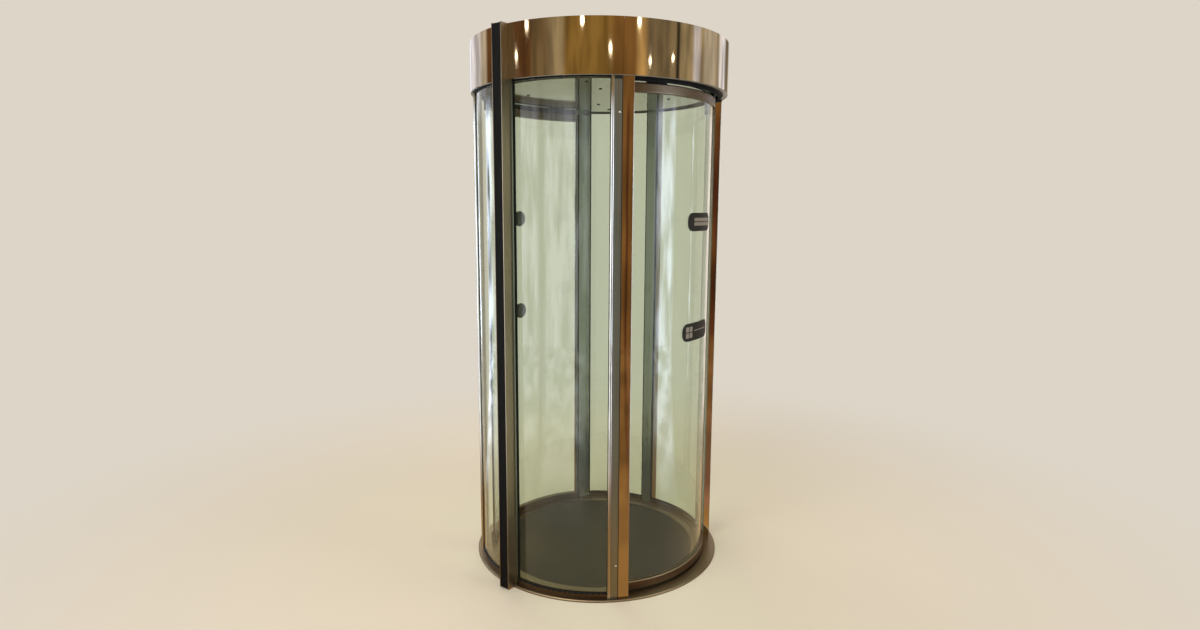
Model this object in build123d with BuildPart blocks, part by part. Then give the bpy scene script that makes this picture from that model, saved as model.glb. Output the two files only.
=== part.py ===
from build123d import *
from math import asin, cos, degrees, radians, sin, sqrt
import os

# A round entrance booth: a glass drum under a deep polished header, with two curved
# doors that slide round inside it. Millimetres, Z up, the drum's axis is the Z axis.
# Angles are in degrees round the drum, from the front (-Y) towards +X.

os.makedirs("parts", exist_ok=True)

# Drum and header panels
drum_radius = 565
overall_height = 2300
header_height = 206
panel_thickness = 3
panel_lip_depth = 5
panel_lip_thickness = 2.5
panel_seam = 0.6
seat_gap = 0.3

# Floor ring and mat
base_overhang = 5
base_thickness = 8
base_ring_width = 102
base_edge_ramp = 3
anchor_inset = 12
anchor_hole_radius = 4.5
anchor_count = 8
groove_width = 6
groove_depth = 5
mat_rim_width = 8
mat_rim_rise = 1
mat_rim_chamfer = 0.8
mat_thickness = 7

# Doorways and posts
opening_half_angle = 40.4
post_header_gap = 1
post_depth = 28
post_width = 86
post_wall = 3
post_cover_width = 43
post_cover_thickness = 2.5
inner_lip_width = 59
outer_lip_thickness = 7.6
lip_nose_radius = 3
post_face_setback = 2
pocket_depth = 34
brush_width = 6
brush_inset = 15
brush_door_gap = 6
head_block_height = 31
head_block_thickness = 4

# Fixed panes and the channels that hold them
pane_thickness = 12
pane_end_gap = 2
glazing_gap = 0.4
channel_height = 20
channel_wall = 3.6
channel_floor = 4
channel_end_gap = 1

# Posts on the wall line, and the channels that take the wall's edge
wall_line_offset = 49
wall_post_outer_width = 60
wall_post_inner_width = 50
wall_post_web = 16
wall_channel_width = 50
wall_channel_depth = 37
wall_channel_wall = 3

# Sliding doors
door_running_gap = 15
door_overlap = 14
door_rail_width = 28
door_rail_height = 36
door_rail_edge_radius = 4
door_glass_thickness = 10
door_glass_grip = 22
door_floor_gap = 6
door_head_gap = 15
end_block_width = 10
end_block_height = 50
end_block_side = 2
edge_seal_thickness = 8
guide_pin_radius = 2.5
guide_pin_angle = 34
guide_pin_clearance = 1

# Track ring in the header
soffit_rise = 21
soffit_thickness = 3
slot_clearance = 5
rail_thickness = 8
rail_height = 22
web_clearance = 5.5
web_thickness = 4
ring_flange_thickness = 3
ring_flange_reach = 15
cover_sheet_thickness = 2.5
cover_sheet_seam = 1
cover_sheet_recess = 5

# Hanging carriages
carriage_angle = 28
carriage_length = 88
carriage_thickness = 8
carriage_foot_width = 20
carriage_foot_thickness = 4
carriage_rise = 20
wheel_radius = 22
wheel_flange_depth = 4
wheel_width = 15
wheel_side_gap = 0.45
wheel_stand_off = 5.5
wheel_spacing = 56
axle_radius = 5
axle_cap = 2

# Ceiling inside the drum
ceiling_edge_gap = 18
ceiling_rise = 0.5
ceiling_thickness = 3.5
ceiling_frame_thickness = 3
ceiling_frame_width = 94
beam_width = 40
beam_height = 40
beam_wall = 3
beam_offset = 170
beam_clearance = 55
hanger_radius = 6
hanger_inset = 47
spot_radius = 7
spot_height = 3
spot_insets_and_angles = ((80, -61), (252, 127), (160, 43))

# Blank plates on the door glass
front_plate_height = 76
front_plate_corner = 32
front_low_plate_width = 228
front_low_plate_angle = 3.3
front_high_plate_width = 207
front_high_plate_angle = 4.5
rear_plate_radius = 38
rear_plate_angle = -1.3
plate_thickness = 3
plate_low_height = 1088
plate_high_height = 1551

# Heights worked out from the sizes above
header_bottom = overall_height - header_height
soffit_height = header_bottom + soffit_rise
ring_top = overall_height - panel_lip_thickness - cover_sheet_recess - cover_sheet_thickness
door_bottom = base_thickness + door_floor_gap
door_top = header_bottom - door_head_gap
rail_top = soffit_height + soffit_thickness + rail_height
wheel_height = rail_top + wheel_radius - wheel_flange_depth + seat_gap
carriage_top = wheel_height + carriage_rise
ceiling_bottom = header_bottom + ceiling_rise
frame_height = ceiling_bottom + ceiling_thickness
beam_bottom = wheel_height + wheel_radius + beam_clearance

# Radii worked out from the sizes above
base_radius = drum_radius + base_overhang
base_inner_radius = base_radius - base_ring_width
anchor_circle_radius = base_inner_radius + anchor_inset
panel_inner_radius = drum_radius - panel_thickness
lip_inner_radius = panel_inner_radius - panel_lip_depth
ring_outer_radius = panel_inner_radius - seat_gap
post_outer_radius = lip_inner_radius - post_header_gap
post_inner_radius = post_outer_radius - post_depth
lip_outer_radius = post_outer_radius - post_face_setback
pocket_outer_radius = lip_outer_radius - outer_lip_thickness
pane_outer_radius = pocket_outer_radius - glazing_gap
pane_inner_radius = pane_outer_radius - pane_thickness
pocket_inner_radius = pane_inner_radius - glazing_gap
door_outer_radius = post_inner_radius - door_running_gap
door_inner_radius = door_outer_radius - door_rail_width
door_centre_radius = door_outer_radius - door_rail_width / 2
door_glass_inner = door_centre_radius - door_glass_thickness / 2
door_glass_outer = door_centre_radius + door_glass_thickness / 2
carriage_outer_radius = door_centre_radius + carriage_thickness
slot_inner_radius = door_centre_radius - slot_clearance
slot_outer_radius = carriage_outer_radius + slot_clearance
ceiling_radius = slot_inner_radius - ceiling_edge_gap
rail_centre_radius = carriage_outer_radius + wheel_stand_off + wheel_width / 2
axle_end_radius = rail_centre_radius + wheel_width / 2 + axle_cap
web_inner_radius = axle_end_radius + web_clearance


def span(length, radius):
    """Angle that a length takes up round the drum at a radius."""
    return degrees(length / radius)


# Angles worked out from the sizes above
wall_post_angle = 90 + degrees(asin(wall_line_offset / drum_radius))
post_start_angle = opening_half_angle + span(post_cover_thickness, post_outer_radius)
cover_end_angle = opening_half_angle + span(post_cover_width, post_outer_radius)
post_end_angle = opening_half_angle + span(post_width, post_outer_radius)
inner_lip_end_angle = opening_half_angle + span(inner_lip_width, post_inner_radius)
pocket_start_angle = post_end_angle - span(pocket_depth, post_outer_radius)
pane_start_angle = pocket_start_angle + span(pane_end_gap, pane_outer_radius)
channel_start_angle = post_end_angle + span(channel_end_gap, post_outer_radius)
pane_end_margin = span(wall_post_web / 2 + pane_end_gap, pane_inner_radius)
channel_end_margin = span(wall_post_outer_width / 2 + channel_end_gap, pane_inner_radius)
door_half_angle = opening_half_angle + span(door_overlap, door_centre_radius)
door_rail_half_angle = door_half_angle - span(end_block_width, door_centre_radius)

# Each corner pane: middle of its doorway, side of that doorway, and angle to the wall post
corner_angles = {
    "front_right": (0, 1, wall_post_angle),
    "front_left": (0, -1, wall_post_angle),
    "rear_left": (180, 1, 180 - wall_post_angle),
    "rear_right": (180, -1, 180 - wall_post_angle),
}


def from_doorway(middle, side, first, last):
    """Start and end angle of a stretch to one side of a doorway's middle."""
    return sorted((middle + side * first, middle + side * last))


def on_circle(radius, angle):
    """Point in plan at a radius and an angle round the drum."""
    return (radius * sin(radians(angle)), -radius * cos(radians(angle)))


def ring_sector(inner, outer, first, last):
    """Flat face between two radii and two angles round the drum."""
    turn = last - first
    with BuildSketch() as sector:
        with BuildLine():
            outside = CenterArc((0, 0), outer, first - 90, turn)
            inside = CenterArc((0, 0), inner, first - 90, turn)
            Line(inside @ 0, outside @ 0)
            Line(inside @ 1, outside @ 1)
        make_face()
    return sector.sketch


def radial_plane(angle):
    """Upright plane through the axis: its X runs outwards at the angle, its Y is up."""
    across, back = on_circle(1, angle)
    return Plane(origin=(0, 0, 0), x_dir=(across, back, 0), z_dir=(back, -across, 0))


def axle_plane(angle, radius):
    """Plane across an axle that points outwards from the drum's axis at wheel height."""
    centre = (*on_circle(radius, angle), wheel_height)
    return Plane(origin=centre, x_dir=(0, 0, 1), z_dir=(*on_circle(1, angle), 0))


def save(builder, name):
    """Labels a finished piece and writes its file."""
    builder.part.label = name
    export_step(builder.part, f"parts/{name}.step")


def base_ring():
    """Flat floor ring with a ramped edge, a groove for the door pins and anchor holes."""
    groove_inner = door_centre_radius - groove_width / 2
    groove_outer = door_centre_radius + groove_width / 2
    groove_floor = base_thickness - groove_depth
    with BuildPart() as ring:
        with BuildSketch(radial_plane(0)):
            with BuildLine():
                Polyline(
                    (base_inner_radius, 0),
                    (base_radius, 0),
                    (base_radius, base_thickness - base_edge_ramp),
                    (base_radius - base_edge_ramp, base_thickness),
                    (groove_outer, base_thickness),
                    (groove_outer, groove_floor),
                    (groove_inner, groove_floor),
                    (groove_inner, base_thickness),
                    (base_inner_radius, base_thickness),
                    close=True,
                )
            make_face()
        revolve(axis=Axis.Z)
        with BuildSketch(Plane.XY):
            with PolarLocations(anchor_circle_radius, anchor_count):
                Circle(anchor_hole_radius)
        extrude(amount=base_thickness, mode=Mode.SUBTRACT)
    save(ring, "base_ring")


def mat_and_rim():
    """Round entrance mat and the thin raised rim that frames it."""
    rim_outer = base_inner_radius - seat_gap
    rim_inner = rim_outer - mat_rim_width
    with BuildPart() as rim:
        with BuildSketch():
            Circle(rim_outer)
            Circle(rim_inner, mode=Mode.SUBTRACT)
        extrude(amount=base_thickness + mat_rim_rise)
        chamfer(rim.edges().group_by(Axis.Z)[-1], mat_rim_chamfer)
    save(rim, "mat_rim")
    with BuildPart() as mat:
        with BuildSketch():
            Circle(rim_inner - seat_gap)
        extrude(amount=mat_thickness)
    save(mat, "floor_mat")


def glazing_channels(name, bottom, slot_bottom):
    """Four curved channels that hold the fixed panes at the floor ring or under the header."""
    inner = pocket_inner_radius - channel_wall
    outer = pocket_outer_radius + channel_wall
    with BuildPart() as channels:
        with BuildSketch(Plane.XY.offset(bottom)):
            for middle, side, wall_angle in corner_angles.values():
                last = wall_angle - channel_end_margin
                add(ring_sector(inner, outer, *from_doorway(middle, side, channel_start_angle, last)))
        extrude(amount=channel_height)
        with BuildSketch(Plane.XY.offset(slot_bottom)):
            Circle(pocket_outer_radius)
            Circle(pocket_inner_radius, mode=Mode.SUBTRACT)
        extrude(amount=channel_height - channel_floor, mode=Mode.SUBTRACT)
    save(channels, name)


def fixed_panes():
    """Four curved panes of laminated glass between the posts."""
    bottom = base_thickness + channel_floor
    top = soffit_height - channel_floor
    for place, (middle, side, wall_angle) in corner_angles.items():
        stretch = from_doorway(middle, side, pane_start_angle, wall_angle - pane_end_margin)
        with BuildPart() as pane:
            with BuildSketch(Plane.XY.offset(bottom)):
                add(ring_sector(pane_inner_radius, pane_outer_radius, *stretch))
            extrude(amount=top - bottom)
        save(pane, f"fixed_pane_{place}")


def doorway_posts():
    """Hollow post at each side of each doorway, with a pocket for the fixed pane's edge."""
    core_outer = post_outer_radius - post_cover_thickness
    wall_turn = span(post_wall, post_outer_radius)
    beyond = post_end_angle + wall_turn
    for place, (middle, side, _) in corner_angles.items():
        with BuildPart() as post:
            with BuildSketch(Plane.XY.offset(base_thickness)):
                core = from_doorway(middle, side, post_start_angle, cover_end_angle)
                add(ring_sector(post_inner_radius, core_outer, *core))
                lips = from_doorway(middle, side, cover_end_angle, post_end_angle)
                add(ring_sector(post_inner_radius, lip_outer_radius, *lips))
                nose = Vector(*on_circle(lip_outer_radius, middle + side * post_end_angle))
                fillet(vertices().sort_by_distance(nose)[0], lip_nose_radius)
                pocket = from_doorway(middle, side, pocket_start_angle, beyond)
                add(ring_sector(pocket_inner_radius, pocket_outer_radius, *pocket), mode=Mode.SUBTRACT)
                lip_end = from_doorway(middle, side, inner_lip_end_angle, beyond)
                cut_outer = (pocket_inner_radius + pocket_outer_radius) / 2
                cut_inner = post_inner_radius - post_wall
                add(ring_sector(cut_inner, cut_outer, *lip_end), mode=Mode.SUBTRACT)
                first = post_start_angle + wall_turn
                last = pocket_start_angle - wall_turn
                hollow = from_doorway(middle, side, first, last)
                hollow_inner = post_inner_radius + post_wall
                add(ring_sector(hollow_inner, core_outer - post_wall, *hollow), mode=Mode.SUBTRACT)
            extrude(amount=soffit_height - base_thickness)
        save(post, f"post_{place}")


def post_covers(name, middle):
    """Polished covers folded round the doorway edges of a pair of posts."""
    core_outer = post_outer_radius - post_cover_thickness
    with BuildPart() as covers:
        with BuildSketch(Plane.XY.offset(base_thickness)):
            for side in (-1, 1):
                whole = from_doorway(middle, side, opening_half_angle, cover_end_angle)
                add(ring_sector(post_inner_radius, post_outer_radius, *whole))
            for side in (-1, 1):
                inside = from_doorway(middle, side, post_start_angle, post_end_angle)
                cut_inner = post_inner_radius - post_wall
                add(ring_sector(cut_inner, core_outer, *inside), mode=Mode.SUBTRACT)
        extrude(amount=soffit_height - base_thickness)
    save(covers, name)


def post_fittings():
    """Brush seals on the posts' inner faces and the black blocks at the heads of the doorways."""
    brush_start = opening_half_angle + span(brush_inset, post_inner_radius)
    brush_end = brush_start + span(brush_width, post_inner_radius)
    with BuildPart() as brushes:
        with BuildSketch(Plane.XY.offset(door_bottom)):
            for middle, side, _ in corner_angles.values():
                stretch = from_doorway(middle, side, brush_start, brush_end)
                add(ring_sector(door_outer_radius + brush_door_gap, post_inner_radius, *stretch))
        extrude(amount=door_top - door_bottom)
    save(brushes, "brush_seals")
    block_start = opening_half_angle - span(head_block_thickness, post_outer_radius)
    with BuildPart() as blocks:
        with BuildSketch(Plane.XY.offset(soffit_height - head_block_height)):
            for middle, side, _ in corner_angles.values():
                stretch = from_doorway(middle, side, block_start, opening_half_angle)
                add(ring_sector(post_inner_radius, post_outer_radius, *stretch))
        extrude(amount=head_block_height)
    save(blocks, "doorway_head_blocks")


def wall_posts():
    """Two H-shaped posts on the wall line, with a pane in each side."""
    outer_half = span(wall_post_outer_width / 2, post_outer_radius)
    inner_half = span(wall_post_inner_width / 2, post_inner_radius)
    web_half = span(wall_post_web / 2, pane_inner_radius)
    with BuildPart() as posts:
        with BuildSketch(Plane.XY.offset(base_thickness)):
            for middle in (wall_post_angle, -wall_post_angle):
                outer_flange = (middle - outer_half, middle + outer_half)
                inner_flange = (middle - inner_half, middle + inner_half)
                add(ring_sector(pocket_outer_radius, post_outer_radius, *outer_flange))
                add(ring_sector(post_inner_radius, pocket_inner_radius, *inner_flange))
                add(ring_sector(post_inner_radius, post_outer_radius, middle - web_half, middle + web_half))
        extrude(amount=soffit_height - base_thickness)
    save(posts, "wall_posts")


def wall_channels():
    """Upright channels outside the drum that take the edge of the wall, cut to the drum's curve."""
    reach = drum_radius + wall_channel_depth
    back = post_inner_radius
    hollow_start = drum_radius + seat_gap + wall_channel_wall
    middle = (back + reach) / 2
    hollow_middle = (hollow_start + reach) / 2
    hollow_width = wall_channel_width - 2 * wall_channel_wall
    with BuildPart() as channels:
        with BuildSketch():
            with Locations((middle, wall_line_offset), (-middle, wall_line_offset)):
                Rectangle(reach - back, wall_channel_width)
            with Locations((hollow_middle, wall_line_offset), (-hollow_middle, wall_line_offset)):
                Rectangle(reach - hollow_start, hollow_width, mode=Mode.SUBTRACT)
        extrude(amount=overall_height)
        with BuildSketch():
            Circle(post_outer_radius + seat_gap)
        extrude(amount=overall_height, mode=Mode.SUBTRACT)
        with BuildSketch(Plane.XY.offset(header_bottom - seat_gap)):
            Circle(drum_radius + seat_gap)
        extrude(amount=header_height + seat_gap, mode=Mode.SUBTRACT)
        with BuildSketch():
            Circle(base_radius + seat_gap)
        extrude(amount=base_thickness + seat_gap, mode=Mode.SUBTRACT)
    save(channels, "wall_channels")


def header_panel(name, first, last):
    """Curved header panel with folded lips."""
    seam = span(panel_seam / 2, drum_radius)
    with BuildPart() as panel:
        with BuildSketch(radial_plane(first + seam)):
            with BuildLine():
                Polyline(
                    (drum_radius, header_bottom),
                    (drum_radius, overall_height),
                    (lip_inner_radius, overall_height),
                    (lip_inner_radius, overall_height - panel_lip_thickness),
                    (panel_inner_radius, overall_height - panel_lip_thickness),
                    (panel_inner_radius, header_bottom + panel_lip_thickness),
                    (lip_inner_radius, header_bottom + panel_lip_thickness),
                    (lip_inner_radius, header_bottom),
                    close=True,
                )
            make_face()
        revolve(axis=Axis.Z, revolution_arc=last - first - 2 * seam)
    save(panel, name)


def track_ring():
    """Rolled ring above the doorways: soffit, running rail, web and top flange, in four lengths."""
    soffit_top = soffit_height + soffit_thickness
    flange_bottom = ring_top - ring_flange_thickness
    flange_inner = web_inner_radius - ring_flange_reach
    web_outer = web_inner_radius + web_thickness
    rail_inner = rail_centre_radius - rail_thickness / 2
    rail_outer = rail_centre_radius + rail_thickness / 2
    joint = span(panel_seam / 2, rail_centre_radius)
    with BuildPart() as ring:
        for quarter in range(4):
            with BuildSketch(radial_plane(90 * quarter + joint)):
                with BuildLine():
                    Polyline(
                        (slot_outer_radius, soffit_height),
                        (ring_outer_radius, soffit_height),
                        (ring_outer_radius, soffit_top),
                        (web_outer, soffit_top),
                        (web_outer, flange_bottom),
                        (ring_outer_radius, flange_bottom),
                        (ring_outer_radius, ring_top),
                        (flange_inner, ring_top),
                        (flange_inner, flange_bottom),
                        (web_inner_radius, flange_bottom),
                        (web_inner_radius, soffit_top),
                        (rail_outer, soffit_top),
                        (rail_outer, rail_top),
                        (rail_inner, rail_top),
                        (rail_inner, soffit_top),
                        (slot_outer_radius, soffit_top),
                        close=True,
                    )
                make_face()
            revolve(axis=Axis.Z, revolution_arc=90 - 2 * joint)
    save(ring, "track_ring")


def header_cover():
    """Two half-round sheets that close the top of the header."""
    with BuildPart() as cover:
        with BuildSketch(Plane.XY.offset(ring_top)):
            Circle(ring_outer_radius)
            Rectangle(2 * drum_radius, cover_sheet_seam, mode=Mode.SUBTRACT)
        extrude(amount=cover_sheet_thickness)
    save(cover, "header_cover")


def header_beams():
    """Two hollow beams across the header, cut to the track ring's web."""
    with BuildPart() as beams:
        for side in (-1, 1):
            with BuildSketch(Plane.YZ.offset(-drum_radius)):
                with Locations((side * beam_offset, beam_bottom + beam_height / 2)):
                    Rectangle(beam_width, beam_height)
                    Rectangle(beam_width - 2 * beam_wall, beam_height - 2 * beam_wall, mode=Mode.SUBTRACT)
            extrude(amount=2 * drum_radius)
        with BuildSketch(Plane.XY.offset(beam_bottom)):
            Circle(web_inner_radius - seat_gap)
        extrude(amount=beam_height, mode=Mode.INTERSECT)
    save(beams, "header_beams")


def ceiling():
    """Mirror ceiling, the black frame that it is fixed to with its hangers, and small fittings."""
    hanger_x = sqrt((slot_inner_radius - hanger_inset) ** 2 - beam_offset**2)
    with BuildPart() as frame:
        with BuildSketch(Plane.XY.offset(frame_height)):
            Circle(slot_inner_radius)
            Circle(slot_inner_radius - ceiling_frame_width, mode=Mode.SUBTRACT)
        extrude(amount=ceiling_frame_thickness)
        with BuildSketch(Plane.XY.offset(frame_height)):
            with GridLocations(2 * hanger_x, 2 * beam_offset, 2, 2):
                Circle(hanger_radius)
        extrude(amount=beam_bottom - frame_height)
    save(frame, "ceiling_frame")
    with BuildPart() as panel:
        with BuildSketch(Plane.XY.offset(ceiling_bottom)):
            Circle(ceiling_radius)
        extrude(amount=ceiling_thickness)
    save(panel, "ceiling_panel")
    with BuildPart() as spots:
        with BuildSketch(Plane.XY.offset(ceiling_bottom - spot_height)):
            for inset, angle in spot_insets_and_angles:
                radius = ceiling_radius - inset
                with Locations(on_circle(radius, angle), on_circle(radius, angle + 180)):
                    Circle(spot_radius)
        extrude(amount=spot_height)
    save(spots, "ceiling_spots")


def door_rail(name, middle, bottom, slot_bottom, with_pins):
    """Curved rail with rounded edges, a slot that grips the door glass and, below, guide pins."""
    with BuildPart() as rail:
        with BuildSketch(radial_plane(middle - door_rail_half_angle)):
            with Locations((door_centre_radius, bottom + door_rail_height / 2)):
                RectangleRounded(door_rail_width, door_rail_height, door_rail_edge_radius)
            with Locations((door_centre_radius, slot_bottom + door_glass_grip / 2)):
                Rectangle(door_glass_thickness, door_glass_grip, mode=Mode.SUBTRACT)
        revolve(axis=Axis.Z, revolution_arc=2 * door_rail_half_angle)
        if with_pins:
            pin_bottom = base_thickness - groove_depth + guide_pin_clearance
            with BuildSketch(Plane.XY.offset(pin_bottom)):
                for angle in (middle - guide_pin_angle, middle + guide_pin_angle):
                    with Locations(on_circle(door_centre_radius, angle)):
                        Circle(guide_pin_radius)
            extrude(amount=door_bottom + guide_pin_clearance - pin_bottom)
    save(rail, name)


def door_glass(prefix, middle):
    """Curved door pane between the two rails."""
    bottom = door_bottom + door_rail_height - door_glass_grip
    top = door_top - door_rail_height + door_glass_grip
    stretch = (middle - door_rail_half_angle, middle + door_rail_half_angle)
    with BuildPart() as pane:
        with BuildSketch(Plane.XY.offset(bottom)):
            add(ring_sector(door_glass_inner, door_glass_outer, *stretch))
        extrude(amount=top - bottom)
    save(pane, f"{prefix}_glass")


def door_ends(prefix, middle):
    """Black blocks on the ends of a door's rails, and the soft seals between them."""
    inner = door_inner_radius + end_block_side
    outer = door_outer_radius - end_block_side
    ends = [from_doorway(middle, side, door_rail_half_angle, door_half_angle) for side in (-1, 1)]
    seal_bottom = door_bottom + end_block_height
    seal_top = door_top - end_block_height
    with BuildPart() as blocks:
        for bottom in (door_bottom, seal_top):
            with BuildSketch(Plane.XY.offset(bottom)):
                for end in ends:
                    add(ring_sector(inner, outer, *end))
            extrude(amount=end_block_height)
    save(blocks, f"{prefix}_end_blocks")
    seal_inner = door_centre_radius - edge_seal_thickness / 2
    with BuildPart() as seals:
        with BuildSketch(Plane.XY.offset(seal_bottom)):
            for end in ends:
                add(ring_sector(seal_inner, seal_inner + edge_seal_thickness, *end))
        extrude(amount=seal_top - seal_bottom)
    save(seals, f"{prefix}_edge_seals")


def door_plates(prefix, places):
    """Blank plates curved to the outside of the door glass, each at its own angle and height."""
    with BuildPart() as plates:
        for angle, height, outline in places:
            across = on_circle(1, angle + 90)
            outwards = on_circle(1, angle)
            flat = Plane(origin=(0, 0, height), x_dir=(*across, 0), z_dir=(*outwards, 0))
            with BuildSketch(flat):
                add(outline)
            extrude(amount=drum_radius)
        with BuildSketch():
            Circle(door_glass_outer + plate_thickness)
            Circle(door_glass_outer, mode=Mode.SUBTRACT)
        extrude(amount=overall_height, mode=Mode.INTERSECT)
    save(plates, f"{prefix}_plates")


def door_carriages(prefix, middle):
    """Two carriages that hang the door: a curved plate, a foot on the top rail and two axles."""
    half_plate = span(carriage_length / 2, door_centre_radius)
    half_spacing = span(wheel_spacing / 2, rail_centre_radius)
    foot_inner = door_centre_radius - carriage_foot_width / 2
    foot_outer = door_centre_radius + carriage_foot_width / 2
    axle_start = door_centre_radius + carriage_thickness / 2
    places = (middle - carriage_angle, middle + carriage_angle)
    axle_places = [place + side * half_spacing for place in places for side in (-1, 1)]
    with BuildPart() as carriages:
        with BuildSketch(Plane.XY.offset(door_top)):
            for place in places:
                add(ring_sector(foot_inner, foot_outer, place - half_plate, place + half_plate))
        extrude(amount=carriage_foot_thickness)
        with BuildSketch(Plane.XY.offset(door_top)):
            for place in places:
                stretch = (place - half_plate, place + half_plate)
                add(ring_sector(door_centre_radius, carriage_outer_radius, *stretch))
        extrude(amount=carriage_top - door_top)
        for place in axle_places:
            with BuildSketch(axle_plane(place, axle_start)):
                Circle(axle_radius)
            extrude(amount=axle_end_radius - axle_start)
    save(carriages, f"{prefix}_carriages")
    tread_radius = wheel_radius - wheel_flange_depth
    groove_half = rail_thickness / 2 + wheel_side_gap
    with BuildPart() as wheels:
        for place in axle_places:
            with BuildSketch(axle_plane(place, rail_centre_radius - wheel_width / 2)):
                Circle(wheel_radius)
                Circle(axle_radius, mode=Mode.SUBTRACT)
            extrude(amount=wheel_width)
            with BuildSketch(axle_plane(place, rail_centre_radius - groove_half)):
                Circle(wheel_radius)
                Circle(tread_radius, mode=Mode.SUBTRACT)
            extrude(amount=2 * groove_half, mode=Mode.SUBTRACT)
    save(wheels, f"{prefix}_wheels")


def sliding_door(prefix, middle):
    """One curved sliding door with its rails, glass, ends and hanging gear."""
    top_rail_bottom = door_top - door_rail_height
    glass_bottom = door_bottom + door_rail_height - door_glass_grip
    door_rail(f"{prefix}_bottom_rail", middle, door_bottom, glass_bottom, with_pins=True)
    door_rail(f"{prefix}_top_rail", middle, top_rail_bottom, top_rail_bottom, with_pins=False)
    door_glass(prefix, middle)
    door_ends(prefix, middle)
    door_carriages(prefix, middle)


base_ring()
mat_and_rim()
glazing_channels("sill_channels", base_thickness, base_thickness + channel_floor)
glazing_channels("head_channels", soffit_height - channel_height, soffit_height - channel_height)
fixed_panes()
doorway_posts()
post_covers("post_covers_front", 0)
post_covers("post_covers_rear", 180)
post_fittings()
wall_posts()
wall_channels()
header_panel("header_panel_front", -cover_end_angle, cover_end_angle)
header_panel("header_panel_right", cover_end_angle, 180 - cover_end_angle)
header_panel("header_panel_rear", 180 - cover_end_angle, 180 + cover_end_angle)
header_panel("header_panel_left", 180 + cover_end_angle, 360 - cover_end_angle)
track_ring()
header_cover()
header_beams()
ceiling()
sliding_door("front_door", 0)
sliding_door("rear_door", 180)
with BuildSketch() as low_plate:
    RectangleRounded(front_low_plate_width, front_plate_height, front_plate_corner)
with BuildSketch() as high_plate:
    RectangleRounded(front_high_plate_width, front_plate_height, front_plate_corner)
with BuildSketch() as round_plate:
    Circle(rear_plate_radius)
front_low = (front_low_plate_angle, plate_low_height, low_plate.sketch)
front_high = (front_high_plate_angle, plate_high_height, high_plate.sketch)
door_plates("front_door", (front_low, front_high))
rear_middle = 180 + rear_plate_angle
rear_low = (rear_middle, plate_low_height, round_plate.sketch)
rear_high = (rear_middle, plate_high_height, round_plate.sketch)
door_plates("rear_door", (rear_low, rear_high))
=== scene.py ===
# %% [markdown]
# # A round entrance booth with two curved sliding doors
# The object is a glass drum under a deep polished header. Two curved doors slide round
# inside it, and in use they never stand open together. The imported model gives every
# piece its real size and place, so this lesson starts from it as a fixed frame: it
# never moves a piece of it, and only gives it finishes and the small things that a
# model of solids leaves out.

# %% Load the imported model
import bmesh
import bpy
import math
import random
from collections import namedtuple
from mathutils import Matrix, Vector


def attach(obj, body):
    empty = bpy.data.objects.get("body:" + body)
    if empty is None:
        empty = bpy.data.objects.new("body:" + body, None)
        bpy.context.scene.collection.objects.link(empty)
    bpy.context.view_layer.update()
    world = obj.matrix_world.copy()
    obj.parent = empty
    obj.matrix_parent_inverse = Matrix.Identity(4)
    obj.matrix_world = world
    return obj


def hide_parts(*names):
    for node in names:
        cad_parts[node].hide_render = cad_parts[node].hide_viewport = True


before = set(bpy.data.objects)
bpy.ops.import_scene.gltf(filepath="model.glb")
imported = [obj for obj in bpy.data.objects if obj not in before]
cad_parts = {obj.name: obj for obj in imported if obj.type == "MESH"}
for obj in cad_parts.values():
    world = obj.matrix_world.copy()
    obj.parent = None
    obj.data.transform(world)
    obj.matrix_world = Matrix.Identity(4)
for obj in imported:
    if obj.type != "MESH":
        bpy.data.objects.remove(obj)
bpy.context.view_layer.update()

# %% [markdown]
# ## Places round a drum
# Nearly everything here is placed by a radius, an angle and a height. Angles are in
# degrees from the front, which faces -Y, towards +X. Most radii and heights are read
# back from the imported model, so what is made here follows a change there.

# %% Helpers for places
MM = 0.001
Extent = namedtuple("Extent", "inner outer low high")


def at(radius, angle, height=0.0):
    """Point at a radius and a height in metres and an angle in degrees."""
    turn = math.radians(angle)
    return Vector((radius * math.sin(turn), -radius * math.cos(turn), height))


def measure(node):
    """Inner and outer radius, and lowest and highest point, of a CAD node."""
    points = [v.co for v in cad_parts[node].data.vertices]
    radii = [math.hypot(p.x, p.y) for p in points]
    heights = [p.z for p in points]
    return Extent(min(radii), max(radii), min(heights), max(heights))


header_inner, header_outer, header_bottom, header_top = measure("header_panel_front")
print("header radius", round(header_outer, 4))
print("header from", round(header_bottom, 3), "to", round(header_top, 3))

# %% [markdown]
# ## The camera
# The photograph was taken at eye height, a little over three metres from the drum's
# axis and well to one side of the front doorway. The numbers come from fitting a
# pinhole camera to the round edges and the uprights. It stands close, so the header's
# near edge arches up and the base ring's near edge bows down.

# %% Camera
CAMERA_ANGLE = -54.0
CAMERA_DISTANCE = 3.289
CAMERA_HEIGHT = 1.604
CAMERA_PITCH = 8.506
CAMERA_ROLL = 0.360
CAMERA_TURN = 0.274
FOCAL_LENGTH_PX = 711.9
OPTICAL_CENTRE_X_PX = 601.5
PHOTO_WIDTH_PX = 1200
SENSOR_WIDTH_MM = 36.0


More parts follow.
